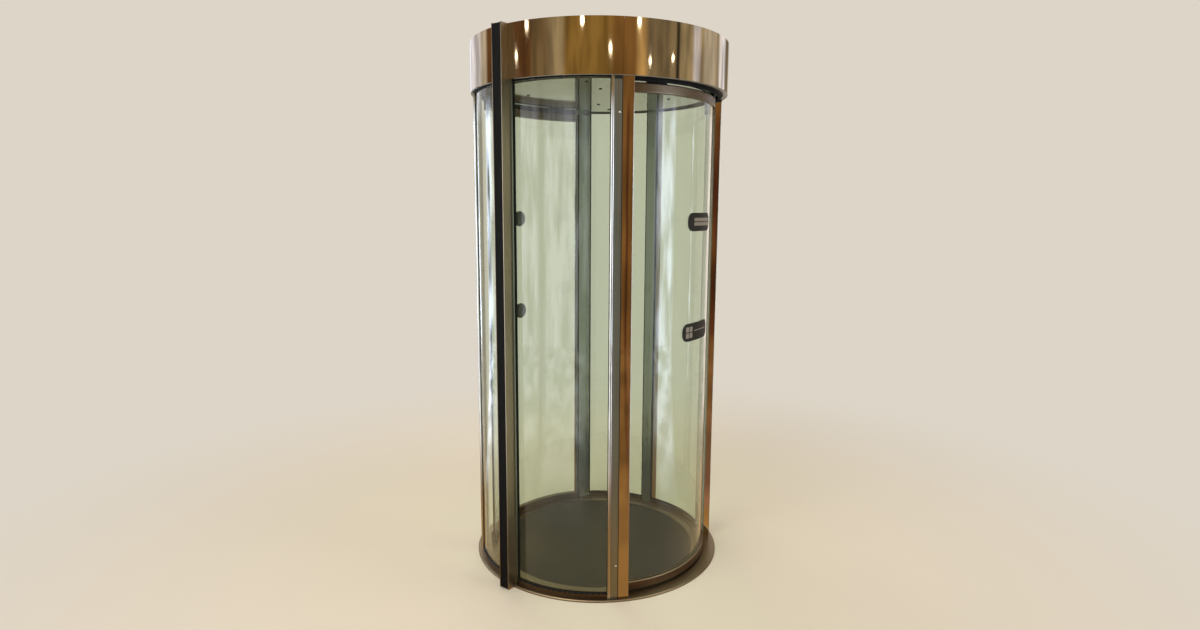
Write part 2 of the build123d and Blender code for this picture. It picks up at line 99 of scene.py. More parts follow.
def make_camera():
    """Camera at the photograph's place, with its pitch, roll and small turn off the axis."""
    data = bpy.data.cameras.new("photo_camera")
    data.sensor_width = SENSOR_WIDTH_MM
    data.lens = FOCAL_LENGTH_PX / PHOTO_WIDTH_PX * SENSOR_WIDTH_MM
    data.shift_x = (PHOTO_WIDTH_PX / 2 - OPTICAL_CENTRE_X_PX) / PHOTO_WIDTH_PX
    camera = bpy.data.objects.new("photo_camera", data)
    bpy.context.scene.collection.objects.link(camera)
    towards_axis = math.radians(CAMERA_ANGLE - CAMERA_TURN)
    upright = Matrix.Rotation(math.radians(90 - CAMERA_PITCH), 4, "X")
    rolled = Matrix.Rotation(math.radians(CAMERA_ROLL), 4, "Z")
    place = Matrix.Translation(at(CAMERA_DISTANCE, CAMERA_ANGLE, CAMERA_HEIGHT))
    camera.matrix_world = place @ Matrix.Rotation(towards_axis, 4, "Z") @ upright @ rolled
    bpy.context.scene.camera = camera
    return camera


camera = make_camera()
print("camera at", [round(x, 3) for x in camera.matrix_world.translation])
print("lens", round(camera.data.lens, 2), "mm")

# %% [markdown]
# ## Colours and material nodes
# A colour is easiest to pick as an sRGB hex value, as on a screen, but Blender's
# shaders work in linear light, so one function converts it. Another adds a node: a
# plain value goes on the node's socket, and a socket is linked to it. Two more start
# and finish a material.

# %% Helpers for materials


def linear(colour):
    """Linear red, green, blue and alpha of an sRGB hex colour such as #C8B496."""
    shares = [int(colour[i : i + 2], 16) / 255 for i in (1, 3, 5)]
    return (*[s / 12.92 if s <= 0.04045 else ((s + 0.055) / 1.055) ** 2.4 for s in shares], 1.0)


def add(tree, kind, inputs=None, **settings):
    """Adds a node with its settings. Inputs are values, or sockets to link from."""
    made = tree.nodes.new(kind)
    for name, value in settings.items():
        setattr(made, name, value)
    for name, value in (inputs or {}).items():
        if isinstance(value, bpy.types.NodeSocket):
            tree.links.new(value, made.inputs[name])
        else:
            made.inputs[name].default_value = value
    return made


def start_material(name):
    """A new material with an empty node tree."""
    material = bpy.data.materials.new(name)
    material.use_nodes = True
    material.node_tree.nodes.clear()
    return material, material.node_tree


def finish_material(material, shader):
    """Links a shader to the material's output."""
    add(material.node_tree, "ShaderNodeOutputMaterial", {"Surface": shader.outputs[0]})
    return material


# %% [markdown]
# ## The stage
# The stage is a plain pale floor that fades into an even background, so that no
# horizon cuts the picture.

# %% Background
BACKGROUND_COLOUR = "#DDD5C8"
AMBIENT_COLOUR = "#FFFDF8"
AMBIENT_STRENGTH = 0.62


def sees_background(tree):
    """1 for rays that show the background: from the camera, in mirrors and through glass."""
    path = add(tree, "ShaderNodeLightPath")
    inputs = {0: path.outputs["Is Camera Ray"], 1: path.outputs["Is Glossy Ray"]}
    first = add(tree, "ShaderNodeMath", inputs, operation="MAXIMUM")
    inputs = {0: first.outputs[0], 1: path.outputs["Is Transmission Ray"]}
    return add(tree, "ShaderNodeMath", inputs, operation="MAXIMUM").outputs[0]


def make_world():
    """Even pale background, and softer light of the same kind on the object."""
    world = bpy.data.worlds.new("studio")
    world.use_nodes = True
    tree = world.node_tree
    tree.nodes.clear()
    inputs = {"Color": linear(AMBIENT_COLOUR), "Strength": AMBIENT_STRENGTH}
    ambient = add(tree, "ShaderNodeBackground", inputs)
    inputs = {"Color": linear(BACKGROUND_COLOUR), "Strength": 1.0}
    shown = add(tree, "ShaderNodeBackground", inputs)
    inputs = {0: sees_background(tree), 1: ambient.outputs[0], 2: shown.outputs[0]}
    mixed = add(tree, "ShaderNodeMixShader", inputs)
    add(tree, "ShaderNodeOutputWorld", {"Surface": mixed.outputs[0]})
    bpy.context.scene.world = world
    return world


world = make_world()
print("made", world.name)

# %% Floor
FLOOR_COLOUR = "#D9CBB6"
FLOOR_RADIUS = 14.0
FLOOR_SIDES = 96
FADE_START = 0.9
FADE_END = 3.6


def floor_finish():
    """Matt pale floor near the object, fading to the background's own colour."""
    material, tree = start_material("pale_matt_floor")
    pale = add(tree, "ShaderNodeBsdfDiffuse", {"Color": linear(FLOOR_COLOUR)})
    shown = add(tree, "ShaderNodeEmission", {"Color": linear(BACKGROUND_COLOUR)})
    place = add(tree, "ShaderNodeTexCoord").outputs["Object"]
    distance = add(tree, "ShaderNodeVectorMath", {0: place}, operation="LENGTH").outputs["Value"]
    inputs = {"Value": distance, "From Min": FADE_START, "From Max": FADE_END}
    fade = add(tree, "ShaderNodeMapRange", inputs, interpolation_type="SMOOTHSTEP").outputs[0]
    inputs = {0: fade, 1: sees_background(tree)}
    share = add(tree, "ShaderNodeMath", inputs, operation="MULTIPLY").outputs[0]
    inputs = {0: share, 1: pale.outputs[0], 2: shown.outputs[0]}
    return finish_material(material, add(tree, "ShaderNodeMixShader", inputs))


def make_floor():
    """Round floor under the object."""
    mesh = bpy.data.meshes.new("floor")
    shape = bmesh.new()
    bmesh.ops.create_circle(shape, cap_ends=True, segments=FLOOR_SIDES, radius=FLOOR_RADIUS)
    shape.to_mesh(mesh)
    shape.free()
    floor = bpy.data.objects.new("floor", mesh)
    bpy.context.scene.collection.objects.link(floor)
    floor.data.materials.append(floor_finish())
    return floor


floor = make_floor()
print("floor", round(floor.dimensions.x, 2), "m across")

# %% [markdown]
# ## Cards for reflections
# Polished metal shows only what stands round it, and in a bare studio that is nothing,
# so photographers stand large cards round a shiny object. The cards here are a round
# screen and a floor, in plain upright bands of warm and cool tones, and only reflections
# see them. The header shows the upper part of the screen, and the posts and panes show
# its lower part.

# %% The tones of the cards
# Each tone is a colour, a strength, and how patchy its light is
CARD_TONES = {
    "brown": ("#7F6B4F", 1.0, 0.3),
    "taupe": ("#8C7C63", 1.0, 0.3),
    "tan": ("#A8987C", 1.0, 0.3),
    "ochre": ("#94753F", 1.0, 0.3),
    "russet": ("#8A653A", 1.0, 0.25),
    "umber": ("#6B4A2E", 1.0, 0.3),
    "slate": ("#949C97", 1.0, 0.4),
    "maroon": ("#5A3524", 1.0, 0.3),
    "shadow": ("#3A332C", 1.0, 0.0),
    "gold": ("#E0B87C", 0.95, 0.3),
    "pale": ("#D2C8BC", 1.0, 0.2),
    "soft_light": ("#EEECFF", 0.8, 0.3),
    "cool_white": ("#F0F0FF", 1.1, 0.4),
    "bright_blue": ("#DAE8FF", 5.5, 0.8),
    "cool_light": ("#E6ECF2", 2.2, 0.85),
    "cream": ("#EFE4D8", 1.6, 0.1),
    "honey": ("#A9814F", 1.0, 0.3),
    "clay": ("#A37862", 1.0, 0.3),
}
# Each band is a tone with its first and last angle, and between bands the tones blend
HIGH_BANDS = (
    ("cool_white", -180, -176), ("pale", -171, -165), ("umber", -161, -112),
    ("brown", -109, -98), ("tan", -91, -84), ("ochre", -80, -46), ("russet", -42, -26),
    ("gold", -22, -18), ("taupe", -14, 10), ("shadow", 11.5, 13), ("tan", 15, 27),
    ("soft_light", 30, 35), ("tan", 39, 39), ("pale", 44, 58), ("taupe", 65, 65),
    ("cool_white", 70, 82), ("taupe", 87, 96), ("pale", 101, 128), ("cool_white", 134, 180),
)
LOW_BANDS = (
    ("taupe", -180, -176), ("bright_blue", -173, -168), ("cool_light", -164, -110),
    ("brown", -104, -104), ("cool_light", -98, -66), ("slate", -60, -40), ("russet", -36, -32),
    ("maroon", -31, -30), ("russet", -29, -22), ("taupe", -14, -2), ("bright_blue", 5, 19),
    ("tan", 24, 60), ("pale", 84, 84), ("cream", 92, 122), ("pale", 126, 126),
    ("slate", 130, 141), ("maroon", 144, 150), ("bright_blue", 153, 158), ("taupe", 162, 180),
)
FLOOR_BANDS = (("honey", -180, -32), ("clay", -27, 10), ("honey", 16, 180))
print("tones", len(CARD_TONES), "bands", len(HIGH_BANDS), len(LOW_BANDS), len(FLOOR_BANDS))

# %% The glow of the cards
PATCH_SIZE = 800 * MM
PATCH_LOW, PATCH_HIGH = 0.38, 0.62
DARKEST_PATCH, BRIGHTEST_PATCH = 0.0, 1.9


def glow_of(tone):
    """Linear red, green and blue at the tone's strength, and its patchiness."""
    colour, strength, patchiness = CARD_TONES[tone]
    return [c * strength for c in linear(colour)[:3]] + [patchiness]


def band_glow(bands, angle):
    """Glow at an angle: a band's own, or a blend of its neighbours between two bands."""
    stops = [(end, tone) for tone, first, last in bands for end in (first, last)]
    for (first, tone), (last, next_tone) in zip(stops, stops[1:]):
        if first <= angle <= last:
            share = (angle - first) / (last - first)
            return [a + (b - a) * share for a, b in zip(glow_of(tone), glow_of(next_tone))]


def floor_glow(share, angle):
    """Glow of the floor at an angle, with a share of the screen's at the same angle."""
    own, over = band_glow(FLOOR_BANDS, angle), band_glow(LOW_BANDS, angle)
    return [f * (1 - share) + o * share for f, o in zip(own, over)]


def glow_finish():
    """Glow in the mesh's own tones, which is patchy where their alpha is high."""
    material, tree = start_material("card_glow")
    place = add(tree, "ShaderNodeTexCoord").outputs["Object"]
    inputs = {"Vector": place, "Scale": 1 / PATCH_SIZE, "Detail": 2.0}
    patches = add(tree, "ShaderNodeTexNoise", inputs).outputs["Fac"]
    inputs = {
        "Value": patches,
        "From Min": PATCH_LOW,
        "From Max": PATCH_HIGH,
        "To Min": DARKEST_PATCH,
        "To Max": BRIGHTEST_PATCH,
    }
    uneven = add(tree, "ShaderNodeMapRange", inputs).outputs[0]
    tone = add(tree, "ShaderNodeVertexColor", layer_name="tone")
    strength = add(tree, "ShaderNodeMix", {0: tone.outputs["Alpha"], 2: 1.0, 3: uneven}).outputs[0]
    inputs = {"Color": tone.outputs["Color"], "Strength": strength}
    return finish_material(material, add(tree, "ShaderNodeEmission", inputs))


card_glow = glow_finish()
print("made", card_glow.name)

# %% Stand the cards
CARD_ANGLES = range(-180, 181)
SCREEN_RADIUS = 5.9
# The screen's rows, as a height and its bands
SCREEN_ROWS = ((0.0, LOW_BANDS), (2.6, LOW_BANDS), (2.9, HIGH_BANDS), (5.0, HIGH_BANDS))
# The floor's rows, as a radius and the share that it takes from the screen over it
FLOOR_ROWS = ((SCREEN_RADIUS, 0.75), (2.6, 0.75), (1.1, 0.0), (0.575, 0.0))
FLOOR_CARD_HEIGHT = 3 * MM


def stand_cards(name, rows, finish):
    """Ring of cards. Each row is a radius, a height and a glow for every angle."""
    shape = bmesh.new()
    loops = [
        [shape.verts.new(at(radius, angle, height)) for angle in CARD_ANGLES]
        for radius, height, _ in rows
    ]
    for low, high in zip(loops, loops[1:]):
        for i in range(len(low) - 1):
            shape.faces.new((low[i], low[i + 1], high[i + 1], high[i]))
    mesh = bpy.data.meshes.new(name)
    shape.to_mesh(mesh)
    shape.free()
    tones = mesh.color_attributes.new("tone", "FLOAT_COLOR", "POINT")
    for number, glow in enumerate(glow for _, _, glows in rows for glow in glows):
        tones.data[number].color = glow
    mesh.materials.append(finish)
    cards = bpy.data.objects.new(name, mesh)
    bpy.context.scene.collection.objects.link(cards)
    for ray in ("camera", "diffuse", "transmission", "shadow", "volume_scatter"):
        setattr(cards, f"visible_{ray}", False)
    return cards


screen_rows = [
    (SCREEN_RADIUS, height, [band_glow(bands, angle) for angle in CARD_ANGLES])
    for height, bands in SCREEN_ROWS
]
floor_rows = [
    (radius, FLOOR_CARD_HEIGHT, [floor_glow(share, angle) for angle in CARD_ANGLES])
    for radius, share in FLOOR_ROWS
]
card_wall = stand_cards("card_wall", screen_rows, card_glow)
card_floor = stand_cards("card_floor", floor_rows, card_glow)
print("card faces", len(card_wall.data.polygons) + len(card_floor.data.polygons))

# %% [markdown]
# ## Lamps
# Three large soft lamps light the object: a key lamp from the left of the camera, a
# weaker one from the right, and one behind that draws the edges of the glass. The small
# oval lamps overhead are there for the polished header, which shows each one as a
# bright spot drawn out by its curve.

# %% Soft lamps
# Each lamp is its place as radius, angle and height, its sides, and its power in watts
SOFT_LAMPS = {
    "key": ((4.4, -92, 5.6), (3.2, 2.4), 150),
    "fill": ((4.6, 18, 5.6), (3.0, 2.4), 95),
    "rim": ((4.4, 150, 5.6), (3.4, 1.6), 110),
}
SOFT_LAMP_TARGET = (0, 0, 1.2)
SPOT_HEIGHT = 3.1
SPOT_SIZE = (0.22, 0.08)
SPOT_POWER = 0.30
SPOT_TARGET = (0, 0, 2.2)
SPOT_COLOUR = "#FFF6E6"
SPOTS = (
    (-4.15, 2.84), (-3.58, 1.51), (-3.53, -1.48), (-3.43, -3.35),
    (-1.52, -3.47), (-1.26, -5.25), (0.63, -5.12),
)


def aim(thing, place, target):
    """Stands a lamp at a place and points it at a target."""
    turned = (Vector(target) - Vector(place)).to_track_quat("-Z", "Y").to_matrix().to_4x4()
    thing.matrix_world = Matrix.Translation(place) @ turned


def soft_lamp(name, place, size, power, target=SOFT_LAMP_TARGET, colour="#FFFFFF"):
    """Rectangular soft lamp. The camera doesn't see it."""
    data = bpy.data.lights.new(name, "AREA")
    data.shape = "RECTANGLE"
    data.size, data.size_y = size
    data.energy = power
    data.color = linear(colour)[:3]
    lamp = bpy.data.objects.new(name, data)
    bpy.context.scene.collection.objects.link(lamp)
    aim(lamp, place, target)
    lamp.visible_camera = False
    lamp.visible_transmission = False
    return lamp


def overhead_spot(number, x, y):
    """Small oval lamp that only the polished metal shows."""
    place = (x, y, SPOT_HEIGHT)
    lamp = soft_lamp(f"spot_{number}", place, SPOT_SIZE, SPOT_POWER, SPOT_TARGET, SPOT_COLOUR)
    lamp.data.shape = "ELLIPSE"
    lamp.visible_diffuse = False
    return lamp


for name, (place, size, power) in SOFT_LAMPS.items():
    soft_lamp(name, at(*place), size, power)
for number, (x, y) in enumerate(SPOTS):
    overhead_spot(number, x, y)
print("soft lamps", len(SOFT_LAMPS), "spots", len(SPOTS))

# %% [markdown]
# ## Polished steel
# The header and the covers on the doorway posts are stainless steel sheet, ground and buffed to a
# mirror. Its warm tone is painted warm reflection, put into the metal's own colour, and the warm
# cards round it add warm reflections of their own. The mirror is never perfect: rolled sheet is
# slightly wavy, which makes straight reflections wander, and buffing leaves a faint haze in
# patches. Both come from soft noise: a wave about 300 mm long in the bumps, and patches of about
# 220 mm in the roughness.

# %% Mirror steel
WAVE_PATCH = 300 * MM
WAVE_STRENGTH, WAVE_DEPTH = 0.06, 20 * MM
HAZE_PATCH = 220 * MM
HAZE_LOW, HAZE_HIGH = 0.35, 0.75
CLEAREST, HAZIEST = 0.035, 0.085


def mirror_steel(name, light, dark):
    """Buffed stainless steel: a mirror with a slow wave and a patchy haze."""
    material, tree = start_material(name)
    place = add(tree, "ShaderNodeTexCoord").outputs["Object"]
    inputs = {"Vector": place, "Scale": 1 / WAVE_PATCH, "Detail": 1.0}
    wave = add(tree, "ShaderNodeTexNoise", inputs).outputs["Fac"]
    inputs = {"Height": wave, "Strength": WAVE_STRENGTH, "Distance": WAVE_DEPTH}
    bump = add(tree, "ShaderNodeBump", inputs).outputs[0]
    inputs = {"Vector": place, "Scale": 1 / HAZE_PATCH, "Detail": 5.0}
    haze = add(tree, "ShaderNodeTexNoise", inputs).outputs["Fac"]
    inputs = {
        "Value": haze,
        "From Min": HAZE_LOW,
        "From Max": HAZE_HIGH,
        "To Min": CLEAREST,
        "To Max": HAZIEST,
    }
    roughness = add(tree, "ShaderNodeMapRange", inputs).outputs[0]
    inputs = {0: haze, 6: linear(light), 7: linear(dark)}
    tone = add(tree, "ShaderNodeMix", inputs, data_type="RGBA").outputs[2]
    inputs = {"Base Color": tone, "Metallic": 1.0, "Roughness": roughness, "Normal": bump}
    return finish_material(material, add(tree, "ShaderNodeBsdfPrincipled", inputs))


# The warm tone of this copy is painted warm reflection.
polished = mirror_steel("buffed_stainless_painted_warm_reflection", "#D3C4A8", "#C9BA9E")
# The ceiling's copy is darker and olive than the header's: painted shade put into the metal's
# colour.
ceiling_mirror = mirror_steel("buffed_stainless_painted_shade", "#8B8774", "#7D7964")
bright_steel = mirror_steel("buffed_stainless_plain", "#DAD8D2", "#CFCCC4")
print("made", polished.name, ceiling_mirror.name, bright_steel.name)

# %% [markdown]
# ## Satin steel
# Posts, rails and channels are stainless steel too, ground with a belt along their
# length, so the grain is made of long fine scratches. Real ones are under half a
# millimetre apart. Here they are drawn about 3 mm apart, because finer lines would
# vanish in the picture. Noise stretched along the grain gives the scratches, and the
# direction differs: up the posts, and round the drum on rails and rings. A slower noise,
# in patches of about 200 mm, stands for wear, which makes a patch lighter or duller.

# %% Grain of satin steel
GRAIN_PITCH = 3 * MM
GRAIN_LENGTH = 600 * MM
GRAIN_DETAIL = 3.0


def grain(tree, place, round_the_drum):
    """Noise drawn out along the grain, up a post or round the drum, from 0 to 1.

    Round the drum, radius and height change fast across the grain, and both plan
    directions change slowly along it. That makes four inputs, so the noise has four."""
    fine, slow = 1 / GRAIN_PITCH, 1 / GRAIN_LENGTH
    stretch = (fine, fine, slow)
    if not round_the_drum:
        inputs = {0: place, 1: stretch}
        scaled = add(tree, "ShaderNodeVectorMath", inputs, operation="MULTIPLY").outputs[0]
        inputs = {"Vector": scaled, "Scale": 1.0, "Detail": GRAIN_DETAIL}
        return add(tree, "ShaderNodeTexNoise", inputs).outputs["Fac"]
    inputs = {0: place, 1: (1, 1, 0)}
    flat = add(tree, "ShaderNodeVectorMath", inputs, operation="MULTIPLY").outputs[0]
    radius = add(tree, "ShaderNodeVectorMath", {0: flat}, operation="LENGTH").outputs["Value"]
    parts = add(tree, "ShaderNodeSeparateXYZ", {0: place})
    inputs = {"X": radius, "Y": parts.outputs["Z"], "Z": parts.outputs["X"]}
    joined = add(tree, "ShaderNodeCombineXYZ", inputs).outputs[0]
    inputs = {0: joined, 1: stretch}
    scaled = add(tree, "ShaderNodeVectorMath", inputs, operation="MULTIPLY").outputs[0]
    inputs = {0: parts.outputs["Y"], 1: slow}
    across = add(tree, "ShaderNodeMath", inputs, operation="MULTIPLY").outputs[0]
    inputs = {"Vector": scaled, "W": across, "Scale": 1.0, "Detail": GRAIN_DETAIL}
    return add(tree, "ShaderNodeTexNoise", inputs, noise_dimensions="4D").outputs["Fac"]


# %% Satin finishes
WEAR_PATCH = 200 * MM
WEAR_SHARE = 0.35
WEAR_LOW, WEAR_HIGH = 0.25, 0.75
SCRATCH_STRENGTH, SCRATCH_DEPTH = 0.12, 0.4 * MM
SMOOTHER, ROUGHER = 0.07, 0.09
STREAKINESS = 0.45
QUARTER_TURN = 0.25


def satin_steel(name, light, dark, round_the_drum=False, roughness=0.30):
    """Belt-ground stainless steel with its grain up a post or round the drum."""
    material, tree = start_material(name)
    place = add(tree, "ShaderNodeTexCoord").outputs["Object"]
    lines = grain(tree, place, round_the_drum)
    inputs = {"Vector": place, "Scale": 1 / WEAR_PATCH, "Detail": 4.0}
    patch = add(tree, "ShaderNodeTexNoise", inputs).outputs["Fac"]
    worn = add(tree, "ShaderNodeMix", {0: WEAR_SHARE, 2: lines, 3: patch}).outputs[0]
    inputs = {0: worn, 6: linear(dark), 7: linear(light)}
    tone = add(tree, "ShaderNodeMix", inputs, data_type="RGBA").outputs[2]
    inputs = {
        "Value": worn,
        "From Min": WEAR_LOW,
        "From Max": WEAR_HIGH,
        "To Min": roughness - SMOOTHER,
        "To Max": roughness + ROUGHER,
    }
    rough = add(tree, "ShaderNodeMapRange", inputs).outputs[0]
    inputs = {"Height": lines, "Strength": SCRATCH_STRENGTH, "Distance": SCRATCH_DEPTH}
    bump = add(tree, "ShaderNodeBump", inputs).outputs[0]
    around = add(tree, "ShaderNodeTangent", direction_type="RADIAL", axis="Z").outputs[0]
    inputs = {
        "Base Color": tone,
        "Metallic": 1.0,
        "Roughness": rough,
        "Anisotropic": STREAKINESS,
        "Anisotropic Rotation": 0.0 if round_the_drum else QUARTER_TURN,
        "Tangent": around,
        "Normal": bump,
    }
    return finish_material(material, add(tree, "ShaderNodeBsdfPrincipled", inputs))


satin_upright = satin_steel("satin_stainless_upright", "#AFB8B1", "#8A928B")
# The wall side copy is warmer than real stainless steel: its tan is painted warm reflection.
satin_wall_painted_reflection = satin_steel("satin_stainless_wall_painted_reflection", "#B5A68F", "#8E8170")
# The rolled and floor copies are dark brown, far darker than real stainless steel: painted shade
# and painted warm reflection, for the dim places under the header and near the floor.
satin_round_painted_shade = satin_steel("satin_stainless_rolled_painted_shade", "#7F715E", "#605342", round_the_drum=True)
satin_floor_painted_shade = satin_steel(
    "satin_stainless_floor_painted_shade", "#8C7A60", "#665741", round_the_drum=True, roughness=0.36
)
print("made", satin_upright.name, satin_wall_painted_reflection.name, satin_round_painted_shade.name, satin_floor_painted_shade.name)

# %% [markdown]
# ## Curved glass
# The panes are laminated safety glass, bent in a furnace and 10 to 12 mm thick. Iron
# in the glass gives it a light green tint, which deepens where several panes overlap.
# Bending leaves a faint wave, about 180 mm long, which shows in reflections. Light
# passes the glass, but Cycles would draw a solid shadow behind it, so shadow rays go
# through a clear stand-in of the same tint.

# %% Laminated glass
GLASS_TINT = "#E8F0E5"
GLASS_IOR = 1.52
ROLLER_PATCH = 180 * MM
ROLLER_STRENGTH, ROLLER_DEPTH = 0.02, 10 * MM


def curved_glass():
    """Clear laminated glass with a light green tint and a faint roller wave."""
    material, tree = start_material("laminated_bent_glass")
    place = add(tree, "ShaderNodeTexCoord").outputs["Object"]
    inputs = {"Vector": place, "Scale": 1 / ROLLER_PATCH, "Detail": 1.0}
    wave = add(tree, "ShaderNodeTexNoise", inputs).outputs["Fac"]
    inputs = {"Height": wave, "Strength": ROLLER_STRENGTH, "Distance": ROLLER_DEPTH}
    bump = add(tree, "ShaderNodeBump", inputs).outputs[0]
    inputs = {
        "Base Color": linear(GLASS_TINT),
        "Roughness": 0.0,
        "IOR": GLASS_IOR,
        "Transmission Weight": 1.0,
        "Normal": bump,
    }
    solid = add(tree, "ShaderNodeBsdfPrincipled", inputs)
    clear = add(tree, "ShaderNodeBsdfTransparent", {"Color": linear(GLASS_TINT)})
    shadow = add(tree, "ShaderNodeLightPath").outputs["Is Shadow Ray"]
    inputs = {0: shadow, 1: solid.outputs[0], 2: clear.outputs[0]}
    return finish_material(material, add(tree, "ShaderNodeMixShader", inputs))


glass = curved_glass()
print("made", glass.name)

# %% [markdown]
# ## Mat, rubber, plastic and painted parts
# The rest are plain matt materials, and each gets the grain that its making leaves.
# Needle felt is a mass of fibres that swallows light. EPDM rubber is a dull black with
# hardly a highlight. Nylon is milky, and its bristles show as a pale fringe. Moulded
# ABS has a fine spark-eroded grain and a soft highlight. Black anodising keeps the
# reflection of metal. Powder coat has an orange peel, and zinc plating a mottled bloom.
# The finest real grains are a tenth of a millimetre across, and are drawn at 1 to 2 mm
# so that they show. A slower noise, in patches of about 250 mm, varies each a little.

# %% Matt materials
SLOW_PATCH = 250 * MM
SLOW_SHARE = 0.4
TONE_LOW, TONE_HIGH = 0.3, 0.7
ROUGHNESS_SWING = 0.08
GRAIN_STRENGTH = 0.5


def matt(
    name, light, dark, grain_size, roughness, depth,
    metallic=0.0, detail=4.0, sheen=0.0, gloss=0.5,
):
    """Two close tones, with a grain of a real size and depth in metres.

    Gloss is how much light the surface gives back: 0.5 for hard plastic or paint, and
    less for felt and soft rubber."""
    material, tree = start_material(name)
    place = add(tree, "ShaderNodeTexCoord").outputs["Object"]
    inputs = {"Vector": place, "Scale": 1 / grain_size, "Detail": detail}
    fine = add(tree, "ShaderNodeTexNoise", inputs).outputs["Fac"]
    inputs = {"Vector": place, "Scale": 1 / SLOW_PATCH, "Detail": 3.0}
    slow = add(tree, "ShaderNodeTexNoise", inputs).outputs["Fac"]
    both = add(tree, "ShaderNodeMix", {0: SLOW_SHARE, 2: fine, 3: slow}).outputs[0]
    inputs = {"Value": both, "From Min": TONE_LOW, "From Max": TONE_HIGH}
    spread = add(tree, "ShaderNodeMapRange", inputs).outputs[0]
    inputs = {0: spread, 6: linear(dark), 7: linear(light)}
    tone = add(tree, "ShaderNodeMix", inputs, data_type="RGBA").outputs[2]
    smoother, rougher = roughness - ROUGHNESS_SWING, roughness + ROUGHNESS_SWING
    inputs = {"Value": both, "To Min": smoother, "To Max": rougher}
    rough = add(tree, "ShaderNodeMapRange", inputs).outputs[0]
    inputs = {"Height": fine, "Strength": GRAIN_STRENGTH, "Distance": depth}
    bump = add(tree, "ShaderNodeBump", inputs).outputs[0]
    inputs = {
        "Base Color": tone,
        "Metallic": metallic,
        "Roughness": rough,
        "Sheen Weight": sheen,
        "Specular IOR Level": gloss,
        "Normal": bump,
    }
    return finish_material(material, add(tree, "ShaderNodeBsdfPrincipled", inputs))


# %% Felt, rubber, nylon and plastic
mat_felt = matt(
    "needle_felt", "#2E2B21", "#1D1B15", 4 * MM, 0.93, 1.2 * MM, detail=8.0, sheen=0.05, gloss=0.2
)
rubber = matt("black_epdm_rubber", "#151514", "#0D0D0C", 2 * MM, 0.66, 0.1 * MM, gloss=0.2)
bristle = matt("natural_nylon_bristle", "#E4DFD2", "#CDC7B8", 3 * MM, 0.55, 0.1 * MM)
plastic = matt("black_moulded_abs", "#1E1E1C", "#141413", 1.2 * MM, 0.45, 0.05 * MM)
plate_face = matt(
    "dark_moulded_plate", "#1C1A15", "#12110D", 1.5 * MM, 0.50, 0.05 * MM, gloss=0.25
)
plate_field = matt("pale_moulded_field", "#8F877B", "#7D766B", 1.5 * MM, 0.50, 0.05 * MM)
nylon = matt("pale_cast_nylon", "#DDD9CE", "#CFCABF", 2 * MM, 0.48, 0.05 * MM)
print("made", mat_felt.name, rubber.name, bristle.name, plastic.name)
print("made", plate_face.name, plate_field.name, nylon.name)

# %% Anodised, painted and plated metal
anodised = matt(
    "black_anodised_aluminium", "#232322", "#171716", 1.5 * MM, 0.38, 0.04 * MM, metallic=1.0
)
painted = matt("grey_powder_coat", "#9A9892", "#8B8983", 4 * MM, 0.48, 0.1 * MM)
zinc = matt("zinc_plated_steel", "#B5B8B8", "#9A9D9D", 6 * MM, 0.36, 0.04 * MM, metallic=1.0)
black_zinc = matt("black_zinc_steel", "#3A3936", "#282725", 6 * MM, 0.42, 0.04 * MM, metallic=1.0)
print("made", anodised.name, painted.name, zinc.name, black_zinc.name)

# %% [markdown]
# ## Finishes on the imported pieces
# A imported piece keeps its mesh, and only its material changes. The list below gives a
# finish to each part of a piece's name. Where several parts fit, the longest decides.

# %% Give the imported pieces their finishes
FINISHES = {
    "header_panel": polished,
    "post_covers": polished,
    "ceiling_panel": ceiling_mirror,
    "fixed_pane": glass,
    "door_glass": glass,
    "top_rail": satin_round_painted_shade,
    "bottom_rail": satin_floor_painted_shade,
    "base_ring": satin_floor_painted_shade,
    "mat_rim": satin_floor_painted_shade,
    "channels": satin_round_painted_shade,
    "wall_channels": satin_wall_painted_reflection,
    "post_front": satin_upright,
    "post_rear": satin_upright,
    "wall_posts": satin_upright,
    "floor_mat": mat_felt,
    "brush_seals": bristle,
    "edge_seals": rubber,
    "blocks": plastic,
    "spots": plastic,
    "track_ring": anodised,
    "ceiling_frame": anodised,
    "header_cover": painted,
    "header_beams": painted,
    "plates": plate_face,
    "carriages": black_zinc,
    "wheels": nylon,
}


def finish_for(node):
    """The finish of the longest name that is found in the node's name."""
    found = [name for name in FINISHES if name in node]
    return FINISHES[max(found, key=len)]


for name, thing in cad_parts.items():
    thing.data.materials.clear()
    thing.data.materials.append(finish_for(name))
print("finishes given to", len(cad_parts), "pieces")

# %% [markdown]
# ## Mesh helpers
# Small pieces come from two simple ideas. Seals and beads are one outline repeated
# along a path, which is an extrusion. Screws are one outline turned round an axis,
# which is a lathe. Both give loops of vertices, and one function skins the loops.

# %% Helpers for meshes
CREASE = 40


def skin(shape, loops):
    """Faces between neighbouring loops, with a cap on each end."""
    for one, two in zip(loops, loops[1:]):
        for i in range(len(one)):
            j = (i + 1) % len(one)
            shape.faces.new((one[i], one[j], two[j], two[i]))
    shape.faces.new(loops[0])
    shape.faces.new(loops[-1])


def piece(name, body, finish, shape, crease=CREASE):
    """Piece that rides on a body, smooth except at edges sharper than the crease."""
    bmesh.ops.recalc_face_normals(shape, faces=shape.faces)
    for edge in shape.edges:
        smooth = len(edge.link_faces) == 2 and edge.calc_face_angle() < math.radians(crease)
        edge.smooth = smooth
    for face in shape.faces:
        face.smooth = True
    mesh = bpy.data.meshes.new(name)
    shape.to_mesh(mesh)
    shape.free()
    mesh.materials.append(finish)
    thing = bpy.data.objects.new(name, mesh)
    bpy.context.scene.collection.objects.link(thing)
    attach(thing, body)
    print("made", name, "with", len(mesh.polygons), "faces")
    return thing


